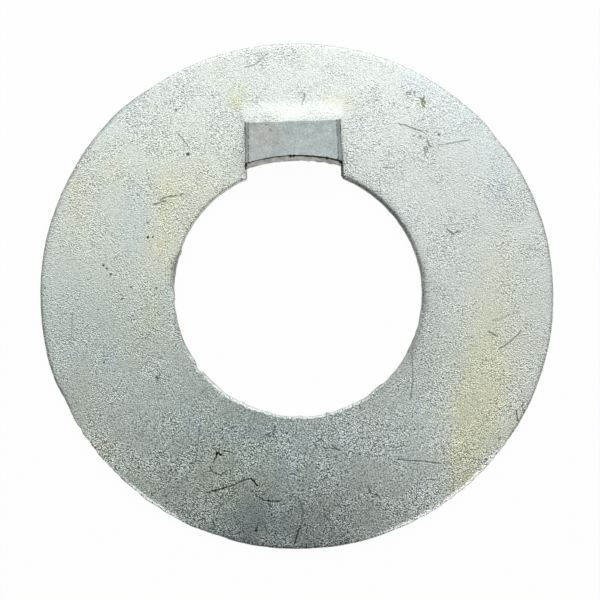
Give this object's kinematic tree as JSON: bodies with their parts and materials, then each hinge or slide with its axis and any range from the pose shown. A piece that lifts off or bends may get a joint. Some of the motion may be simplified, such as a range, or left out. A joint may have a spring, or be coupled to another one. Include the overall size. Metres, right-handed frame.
{
  "type": "tab washer",
  "caption": "Flat round washer with a central bore and an internal lock tab, cut free at the bore's edge and bent up out of its face to key into a slot.",
  "frame": {"origin": "middle of the disc's outline, on its flat back face", "axes": "+Z out of the front face, the side that the tab stands on; +Y from the middle towards the tab; +X across the tab"},
  "size_m": [0.0518, 0.051, 0.0042],
  "materials": {
    "zinc_steel": "zinc plated, dull, lightly stained and scratched"
  },
  "bodies": {
    "root": {"tab_washer": "zinc_steel"}
  },
  "joints": []
}
